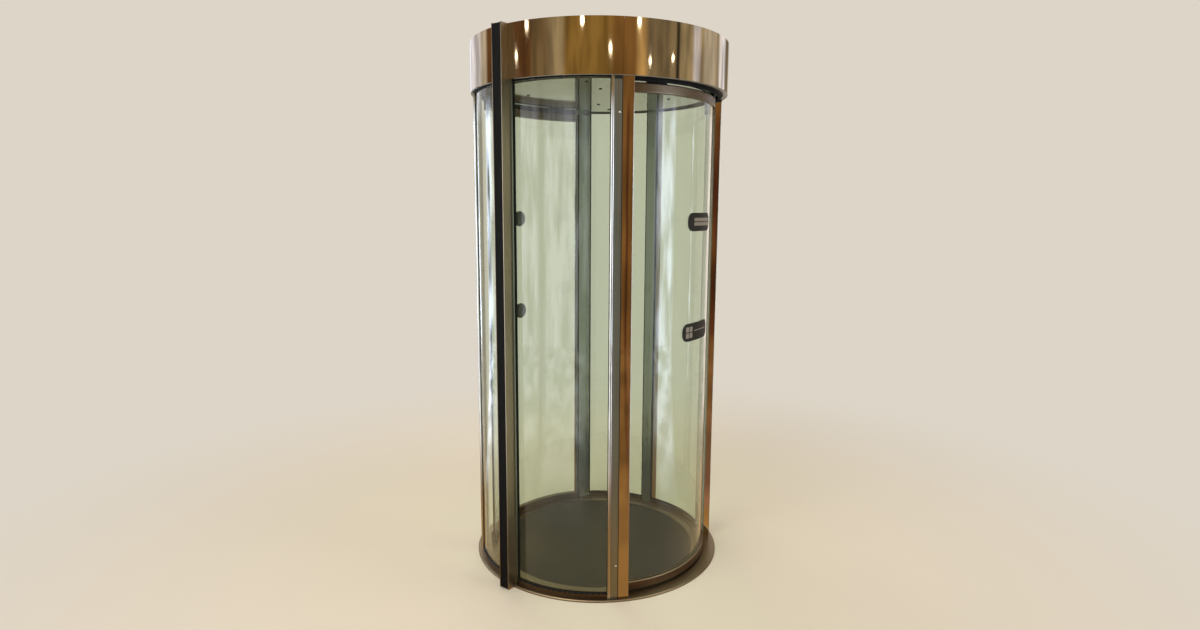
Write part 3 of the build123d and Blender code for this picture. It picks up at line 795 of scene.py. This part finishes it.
# %% [markdown]
# ## Screws
# Every visible fixing is a screw with a hexagon socket. The heads on the posts and the
# top cover are low domes, and the others are nearly flat. A list of rings describes
# each head in units of its radius, from the rim over the top and down into the socket,
# so one function makes every size.

# %% A lathe
LATHE_POINTS = 24


def lathe(shape, place, direction, rings):
    """Turns (radius, height, sides) rings round a direction. No sides make a circle."""
    out = Vector(direction).normalized()
    aside = out.orthogonal().normalized()
    up = out.cross(aside)
    loops = []
    for radius, height, sides in rings:
        loop = []
        for i in range(LATHE_POINTS):
            turn = math.tau * i / LATHE_POINTS
            corner = 1.0
            if sides:
                half = math.pi / sides
                corner = 1 / math.cos((turn + half) % (2 * half) - half)
            reach = radius * corner
            on_ring = aside * math.cos(turn) * reach + up * math.sin(turn) * reach
            loop.append(shape.verts.new(Vector(place) + out * height + on_ring))
        loops.append(loop)
    skin(shape, loops)


# %% Shapes of a screw's head
# Rings of a head, as radius, height and sides
DOME = (
    (1.0, -0.15, 0), (1.0, 0.12, 0), (0.93, 0.30, 0), (0.78, 0.44, 0), (0.60, 0.52, 0),
    (0.50, 0.54, 0), (0.42, 0.54, 6), (0.40, 0.50, 6), (0.38, 0.12, 6), (0.02, 0.10, 6),
)
FLAT = (
    (1.0, -0.15, 0), (1.0, 0.06, 0), (0.95, 0.12, 0), (0.60, 0.13, 0), (0.46, 0.13, 0),
    (0.44, 0.12, 6), (0.42, 0.09, 6), (0.40, -0.10, 6), (0.02, -0.12, 6),
)


def screw(shape, place, direction, radius, rings=DOME):
    """Adds one screw head with its rim on a surface."""
    lathe(shape, place, direction, [(r * radius, h * radius, sides) for r, h, sides in rings])


print("rings of a domed head", len(DOME), "and of a flat one", len(FLAT))

# %% Screws on the posts
POST_SCREW_ANGLE = 45.95
POST_SCREW_HEIGHTS = (0.150, 1.960)
POST_HEAD = 4.6 * MM


def four_posts(angle):
    """The angles that a front right angle has by symmetry: front and rear, right and left."""
    return (angle, -angle, 180 - angle, angle - 180)


post_face = measure("post_front_left").outer
shape = bmesh.new()
for angle in four_posts(POST_SCREW_ANGLE):
    for height in POST_SCREW_HEIGHTS:
        screw(shape, at(post_face, angle, height), at(1, angle), POST_HEAD)
piece("post_screws", "booth", bright_steel, shape)

# %% Screws under the header, on its cover and in the base ring
DOWN, UP = (0, 0, -1), (0, 0, 1)
HALF_STEP = 0.5
LIP_SCREWS = 24
LIP_HEAD = 2.6 * MM
COVER_SCREWS = 12
COVER_SCREW_INSET = 15 * MM
COVER_HEAD = 4.0 * MM
ANCHORS = 8
ANCHOR_CIRCLE = 0.480
ANCHOR_HEAD = 4.1 * MM
ANCHOR_TOP = 6.5 * MM
# The sheet of the trim under the header's edge, which the lip's screws sit on
EDGE_TRIM_SHEET = 0.8 * MM
trim_low = header_bottom - EDGE_TRIM_SHEET


def ring_of_screws(count, shift, radius, height, direction, head, rings=DOME):
    """Screws spaced evenly round the drum, the first one a share of a step from the front."""
    shape = bmesh.new()
    for number in range(count):
        place = at(radius, (number + shift) * 360 / count, height)
        screw(shape, place, direction, head, rings)
    return shape


lip_middle = (header_inner + header_outer) / 2
shape = ring_of_screws(LIP_SCREWS, HALF_STEP, lip_middle, trim_low, DOWN, LIP_HEAD, FLAT)
piece("header_lip_screws", "booth", bright_steel, shape)
cover = measure("header_cover")
screw_circle = cover.outer - COVER_SCREW_INSET
shape = ring_of_screws(COVER_SCREWS, HALF_STEP, screw_circle, cover.high, UP, COVER_HEAD)
piece("header_cover_screws", "booth", zinc, shape)
shape = ring_of_screws(ANCHORS, 0, ANCHOR_CIRCLE, ANCHOR_TOP, UP, ANCHOR_HEAD, FLAT)
piece("base_anchor_screws", "booth", bright_steel, shape)

# %% [markdown]
# ## The header's lower edge, and dust strips that also paint shade
# A thin grey trim covers the cut edge of the header's sheet from below, and leaves out only the
# two places where the wall channels stand. Over each doorway a grey strip widens it inwards, and a
# black rubber strip closes the rest, up to the slot that the door hangs in. Its inner edge hangs
# down almost to the door's rail, and keeps dust and light out of the track. Its black also stands
# for the shade in the gap between the header and the door's rail: painted shade. All are outlines
# swept round the drum.

# %% Sweep an outline round the drum
TURN_STEP = 2.0


def turned(shape, outline, first, last):
    """Sweeps a closed outline of (radius, height) points round the drum's axis."""
    steps = max(1, round(abs(last - first) / TURN_STEP))
    angles = [first + (last - first) * i / steps for i in range(steps + 1)]
    skin(shape, [[shape.verts.new(at(r, a, h)) for r, h in outline] for a in angles])


# %% Edge trim, and dust strips that also paint shade
# The body of each door, and the angle of its doorway's middle
DOORS = {"front_door": 0.0, "rear_door": 180.0}
STRIP_HALF_ANGLE = 39.85
STRIP_SHEET = 2.5 * MM
STRIP_HANG = 13.5 * MM
STRIP_LIFT = 0.5 * MM
GREY_STRIP_WIDTH = 12 * MM
DOOR_SLOT = 11 * MM
JOINT_GAP = 0.3 * MM
INNER_PLAY, OUTER_PLAY, SEAT_GAP = 0.2 * MM, 0.4 * MM, 0.02 * MM
TRIM_ARCS = ((-89.5, 89.5), (100.5, 259.5))


def block(inner, outer, low, high):
    """Section of a plain strip, as (radius, height) points."""
    return ((inner, low), (outer, low), (outer, high), (inner, high))


slot_edge = measure("front_door_top_rail").outer + DOOR_SLOT
strip_outer = header_inner - INNER_PLAY
strip_joint = strip_outer - GREY_STRIP_WIDTH
strip_low = header_bottom + STRIP_LIFT
strip_high, hang_low = strip_low + STRIP_SHEET, strip_low - STRIP_HANG
rubber_section = (
    (slot_edge, strip_high),
    (slot_edge, hang_low + MM),
    (slot_edge + MM, hang_low),
    (slot_edge + STRIP_SHEET - MM, hang_low),
    (slot_edge + STRIP_SHEET, hang_low + MM),
    (slot_edge + STRIP_SHEET, strip_low),
    (strip_joint, strip_low),
    (strip_joint, strip_high),
)
grey_section = block(strip_joint + JOINT_GAP, strip_outer, strip_low, strip_high)
trim_inner, trim_outer = header_inner + INNER_PLAY, header_outer - OUTER_PLAY
trim_section = block(trim_inner, trim_outer, trim_low, header_bottom - SEAT_GAP)
rubber_strips, grey_strips = bmesh.new(), bmesh.new()
for middle in DOORS.values():
    first, last = middle - STRIP_HALF_ANGLE, middle + STRIP_HALF_ANGLE
    turned(rubber_strips, rubber_section, first, last)
    turned(grey_strips, grey_section, first, last)
for first, last in TRIM_ARCS:
    turned(grey_strips, trim_section, first, last)
# The black rubber strip is partly painted shade, for the dark gap above the door's rail.
piece("doorway_dust_and_shade_strips", "booth", rubber, rubber_strips)
piece("header_edge_trim", "booth", painted, grey_strips)
print("dust strips hang to", round(hang_low, 4))

# %% [markdown]
# ## Beads and joints on the posts
# Two uprights make each doorway post: a satin channel that holds the pane, and a
# polished cover on the doorway side. The photograph shows a bright round nose on the
# pane side of the channel, and a dark joint where channel and cover meet. The nose is
# an oval bead, a thinner one rounds the cover's edge at the doorway, and the joint is a
# narrow rubber bead in the corner.

# %% Raise an outline
OVAL_POINTS = 16


def upright(shape, outline, heights):
    """Raises a closed outline of (radius, angle) points through a list of heights."""
    skin(shape, [[shape.verts.new(at(r, a, h)) for r, a in outline] for h in heights])


def oval(radius, angle, deep, wide):
    """Outline in plan of an oval bead, as (radius, angle) points, from its half sizes."""
    turns = [math.tau * i / OVAL_POINTS for i in range(OVAL_POINTS)]
    per_metre = math.degrees(1 / radius)
    return [(radius + deep * math.cos(t), angle + wide * math.sin(t) * per_metre) for t in turns]


# %% Post noses and joints
# Each bead is a radius, an angle, and half its depth and width
NOSE = (0.5503, 48.78, 5.4 * MM, 6.6 * MM)
COVER_EDGE = (0.5551, 40.46, 1.2 * MM, 1.5 * MM)
JOINT = (0.5540, 44.99, 1.4 * MM, 1.3 * MM)
TOP_GAP = 0.5 * MM
post_bottom, bead_top = measure("post_covers_front").low, header_bottom - TOP_GAP


def beads(shape, bead, bottom):
    """Raises a bead up to the header on each of the four posts."""
    radius, angle, deep, wide = bead
    for post_angle in four_posts(angle):
        upright(shape, oval(radius, post_angle, deep, wide), (bottom, bead_top))


shape = bmesh.new()
beads(shape, NOSE, post_bottom + MM)
beads(shape, COVER_EDGE, post_bottom + MM)
piece("post_noses", "booth", bright_steel, shape)
shape = bmesh.new()
beads(shape, JOINT, post_bottom)
piece("post_joints", "booth", rubber, shape)

# %% [markdown]
# ## Caps and wall seals
# Two black parts finish the uprights. A moulded cap closes the top of each satin
# channel under the header, and a ribbed rubber seal fills the mouth of each wall
# channel, where the booth joins a building. The ribs are soft, so they take up what
# isn't quite straight there. Both are outlines in plan, raised to their height.

# %% Post caps
CAP_FIRST, CAP_LAST = 44.95, 48.05
CAP_INNER, CAP_OUTER = 0.5275, 0.5563
CAP_HEIGHT = 13 * MM
CAP_STEPS = 4
# The middle of a post's doorway, and the way from there to the post
CAP_PLACES = ((0, 1), (0, -1), (180, -1), (180, 1))

cap_turns = [CAP_FIRST + (CAP_LAST - CAP_FIRST) * i / CAP_STEPS for i in range(CAP_STEPS + 1)]
shape = bmesh.new()
for middle, way in CAP_PLACES:
    outline = [(CAP_OUTER, middle + way * turn) for turn in cap_turns]
    outline += [(CAP_INNER, middle + way * turn) for turn in reversed(cap_turns)]
    upright(shape, outline, (header_bottom - CAP_HEIGHT, bead_top))
piece("post_caps", "booth", plastic, shape)

# %% Wall seals
CHANNEL_WALL = 3 * MM
SEAL_PLAY = 0.1 * MM
SEAL_DEPTH = 22 * MM
SEAL_INSET = 0.8 * MM
SEAL_END_GAP = 2 * MM
RIBS = 7
RIB_DEPTH = 3.5 * MM
RIB_TIP = 1.2 * MM
SEAL_CREASE = 25


def polar(x, y):
    """Radius and angle of a point in plan."""
    return math.hypot(x, y), math.degrees(math.atan2(x, -y))


channel_points = [v.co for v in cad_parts["wall_channels"].data.vertices]
channel_high = max(p.z for p in channel_points)
mouth_x = max(p.x for p in channel_points)
mouth_front, mouth_back = min(p.y for p in channel_points), max(p.y for p in channel_points)
first, last = mouth_front + CHANNEL_WALL + SEAL_PLAY, mouth_back - CHANNEL_WALL - SEAL_PLAY
back_x, tip_x = mouth_x - SEAL_DEPTH, mouth_x - SEAL_INSET
foot_x = tip_x - RIB_DEPTH
section = [(back_x, first)]
for number in range(RIBS):
    foot = first + (last - first) * number / RIBS
    tip = first + (last - first) * (number + 0.5) / RIBS
    section += [(foot_x, foot), (tip_x, tip - RIB_TIP), (tip_x, tip + RIB_TIP)]
section += [(foot_x, last), (back_x, last)]
shape = bmesh.new()
for side in (1, -1):
    outline = [polar(side * x, y) for x, y in section]
    upright(shape, outline, (SEAL_END_GAP, channel_high - SEAL_END_GAP))
piece("wall_seals", "booth", rubber, shape, crease=SEAL_CREASE)
print("mouth at x", round(mouth_x, 4), "y", round(mouth_front, 4), round(mouth_back, 4))

# %% [markdown]
# ## Glazing gaskets
# A pane never touches steel. A rubber wedge is pushed in beside it, all the way round,
# and shows as a thin dark line. Its outline is a small triangle with a rounded lip,
# swept along the sill and the header and raised along both sides, outside and inside.

# %% Gaskets beside the fixed panes
# Outlines, as shares of the gap from pane to lip and of how far the wedge stands out
LEVEL_WEDGE = ((0, -1), (0, 0.9), (0.275, 1), (0.55, 0.7), (1, 0), (1, -1))
UPRIGHT_WEDGE = ((0, -1), (0, 1), (0.36, 1), (0.6, 0.6), (0.6, -1))
LEVEL_GASKET = 3.5 * MM
# In degrees, for the outer and the inner face
OUTER_GASKET, INNER_GASKET = 0.14, 0.36
# The front and the rear pane on the right, each between its posts
PANE_ARCS = ((49.45, 91.70), (98.25, 130.55))
# Their four upright edges, and the way from each to its pane's middle
PANE_EDGES = ((49.26, 1), (91.88, -1), (98.07, 1), (130.74, -1))

pane, sill = measure("fixed_pane_front_right"), measure("sill_channels")
sill_top, head_bottom = sill.high, measure("head_channels").low
FACES = ((pane.outer, sill.outer, OUTER_GASKET), (pane.inner, sill.inner, INNER_GASKET))


def wedge(shares, face, lip, seat, out):
    """Outline of a gasket from a pane's face towards a channel's lip, out of its seat."""
    return [(face + (lip - face) * across, seat + out * along) for across, along in shares]


shape = bmesh.new()
for first, last in PANE_ARCS:
    for side in (1, -1):
        for face, lip, _ in FACES:
            low = wedge(LEVEL_WEDGE, face, lip, sill_top, LEVEL_GASKET)
            high = wedge(LEVEL_WEDGE, face, lip, head_bottom, -LEVEL_GASKET)
            turned(shape, low, side * first, side * last)
            turned(shape, high, side * first, side * last)
piece("pane_gaskets_level", "booth", rubber, shape)

shape = bmesh.new()
for angle, towards in PANE_EDGES:
    for side in (1, -1):
        for face, lip, width in FACES:
            outline = wedge(UPRIGHT_WEDGE, face, lip, side * angle, side * towards * width)
            upright(shape, outline, (sill_top, head_bottom))
piece("pane_gaskets_upright", "booth", rubber, shape)

# %% [markdown]
# ## Brushes at the doorways
# A strip brush closes the gap between each doorway post and the door behind it. It is a
# row of nylon bristles in a folded holder. Real bristles are 0.2 mm thick. The ones
# here are tufts of about 1 mm, in two rows, each bent a little its own way by a seeded
# random number, which gives the same soft ragged edge with far fewer triangles.

# %% Strip brushes
BRUSH_ANGLE = 42.355
TUFT_PITCH = 2.4 * MM
TUFT_WIDTH = 0.55 * MM
# The three feet of a tuft, in units of its width
TUFT_FEET = ((1, 0, -0.6), (-1, 0, -0.6), (0, 1, 1))
# How far a tuft's tip strays at most: up or down, towards the door, and aside
TUFT_SPREAD, TUFT_RAGGEDNESS, TUFT_LEAN = 0.8 * MM, 0.9 * MM, 0.5 * MM
END_GAP = 2 * MM
ROW_OFFSET = 0.11
HOLDER_DEPTH = 3.0 * MM
HOLDER_GAP = 0.05 * MM
# In degrees, at the holder's rounded front and at its back
HOLDER_FRONT, HOLDER_BACK = 0.31, 0.33
brush_tip, brush_root, brush_bottom, brush_top = measure("brush_seals")
holder_inner, holder_outer = brush_root - HOLDER_DEPTH, brush_root - HOLDER_GAP
dice = random.Random(7)


def tuft(shape, angle, height):
    """One tuft: a slim three-sided spike from the holder to the door, bent by chance."""
    middle = at(holder_inner, angle, height)
    root = [shape.verts.new(middle + Vector(foot) * TUFT_WIDTH) for foot in TUFT_FEET]
    bend = dice.uniform(-TUFT_SPREAD, TUFT_SPREAD)
    tip_radius = brush_tip + dice.uniform(0, TUFT_RAGGEDNESS)
    lean = math.degrees(dice.uniform(-TUFT_LEAN, TUFT_LEAN) / tip_radius)
    tip = shape.verts.new(at(tip_radius, angle + lean, height + bend))
    for one, two in zip(root, root[1:] + root[:1]):
        shape.faces.new((one, two, tip))


tufts, holders = bmesh.new(), bmesh.new()
tufts_in_a_row = int((brush_top - brush_bottom - 2 * END_GAP) / TUFT_PITCH)
for angle in four_posts(BRUSH_ANGLE):
    for number in range(tufts_in_a_row):
        height = brush_bottom + END_GAP + number * TUFT_PITCH
        tuft(tufts, angle - ROW_OFFSET, height)
        tuft(tufts, angle + ROW_OFFSET, height + TUFT_PITCH / 2)
    outline = [
        (holder_inner, angle - HOLDER_FRONT), (holder_inner, angle + HOLDER_FRONT),
        (holder_inner + MM, angle + HOLDER_BACK), (holder_outer, angle + HOLDER_BACK),
        (holder_outer, angle - HOLDER_BACK), (holder_inner + MM, angle - HOLDER_BACK),
    ]
    upright(holders, outline, (brush_bottom, brush_top))
brushes = piece("brush_tufts", "booth", bristle, tufts)
brush_holders = piece("brush_holders", "booth", nylon, holders)
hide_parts("brush_seals")
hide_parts("brush_seals")
print("tufts in a row", tufts_in_a_row)

# %% [markdown]
# ## Small parts on the doors
# Each door carries a few small parts of its own: screws in the end blocks, and on the
# front door the blank raised fields of its two plates. They ride on the door, so they
# slide with it.

# %% Screws in the end blocks
BLOCK_ANGLE = 41.44
BLOCK_SCREW_HEIGHTS = (0.039, 2.054)
BLOCK_HEAD = 2.7 * MM

block_face = measure("front_door_end_blocks").outer
for door, middle in DOORS.items():
    shape = bmesh.new()
    for angle in (middle - BLOCK_ANGLE, middle + BLOCK_ANGLE):
        for height in BLOCK_SCREW_HEIGHTS:
            screw(shape, at(block_face, angle, height), at(1, angle), BLOCK_HEAD, FLAT)
    piece(f"{door}_block_screws", door, bright_steel, shape)

# %% Raised fields of the plates
FIELD_STEP = 5 * MM
FIELD_PROUD = 0.5 * MM
FIELD_SUNK = 0.3 * MM
# Where loops stand in a round corner, as shares of its radius
CORNER_STEPS = (0, 0.12, 0.3, 0.6, 1.0)
# Taken off the top, so that a field as high as its two corners doesn't end in a point
HAIR = 1e-6
# Each field is its first and last angle, its bottom and top, and its corner radius
FIELDS = (
    (-2.5, 14.6, 1.554, 1.568, 0.004),
    (-2.5, 14.6, 1.536, 1.550, 0.004),
    (-0.2, 14.6, 1.090, 1.094, 0.001),
    (-7.3, -4.8, 1.090, 1.112, 0.003),
    (-4.3, -1.8, 1.090, 1.112, 0.003),
    (-7.3, -4.8, 1.064, 1.086, 0.003),
    (-4.3, -1.8, 1.064, 1.086, 0.003),
)
plate_radius = measure("front_door_plates").outer


def curved_field(shape, first, last, bottom, top, corner):
    """Raised field with round corners, between two angles and two heights of a plate."""
    per_metre = math.degrees(1 / plate_radius)
    wide = (last - first) / per_metre
    between = max(1, round((wide - 2 * corner) / FIELD_STEP))
    middles = [corner + (wide - 2 * corner) * i / between for i in range(1, between)]
    lefts = [corner * share for share in CORNER_STEPS]
    rights = [wide - corner * share for share in reversed(CORNER_STEPS)]
    sunk, proud = plate_radius - FIELD_SUNK, plate_radius + FIELD_PROUD
    loops = []
    for along in lefts + middles + rights:
        into = max(0.0, corner - min(along, wide - along))
        cut = corner - math.sqrt(max(0.0, corner * corner - into * into))
        low, high, angle = bottom + cut, top - cut - HAIR, first + along * per_metre
        outline = ((sunk, low), (sunk, high), (proud, high), (proud, low))
        loops.append([shape.verts.new(at(r, angle, h)) for r, h in outline])
    skin(shape, loops)


shape = bmesh.new()
for field in FIELDS:
    curved_field(shape, *field)
piece("front_door_plate_fields", "front_door", plate_field, shape)

# %% [markdown]
# ## Bounces through the glass
# A ray crosses up to eight glass faces on its way through the drum, so it gets enough bounces to
# come out again.

# %% Bounces for the glass
GLASS_BOUNCES = 24
ALL_BOUNCES = 28

scene = bpy.context.scene
scene.view_settings.view_transform = "Standard"
scene.cycles.transparent_max_bounces = GLASS_BOUNCES
scene.cycles.transmission_bounces = GLASS_BOUNCES
scene.cycles.max_bounces = ALL_BOUNCES
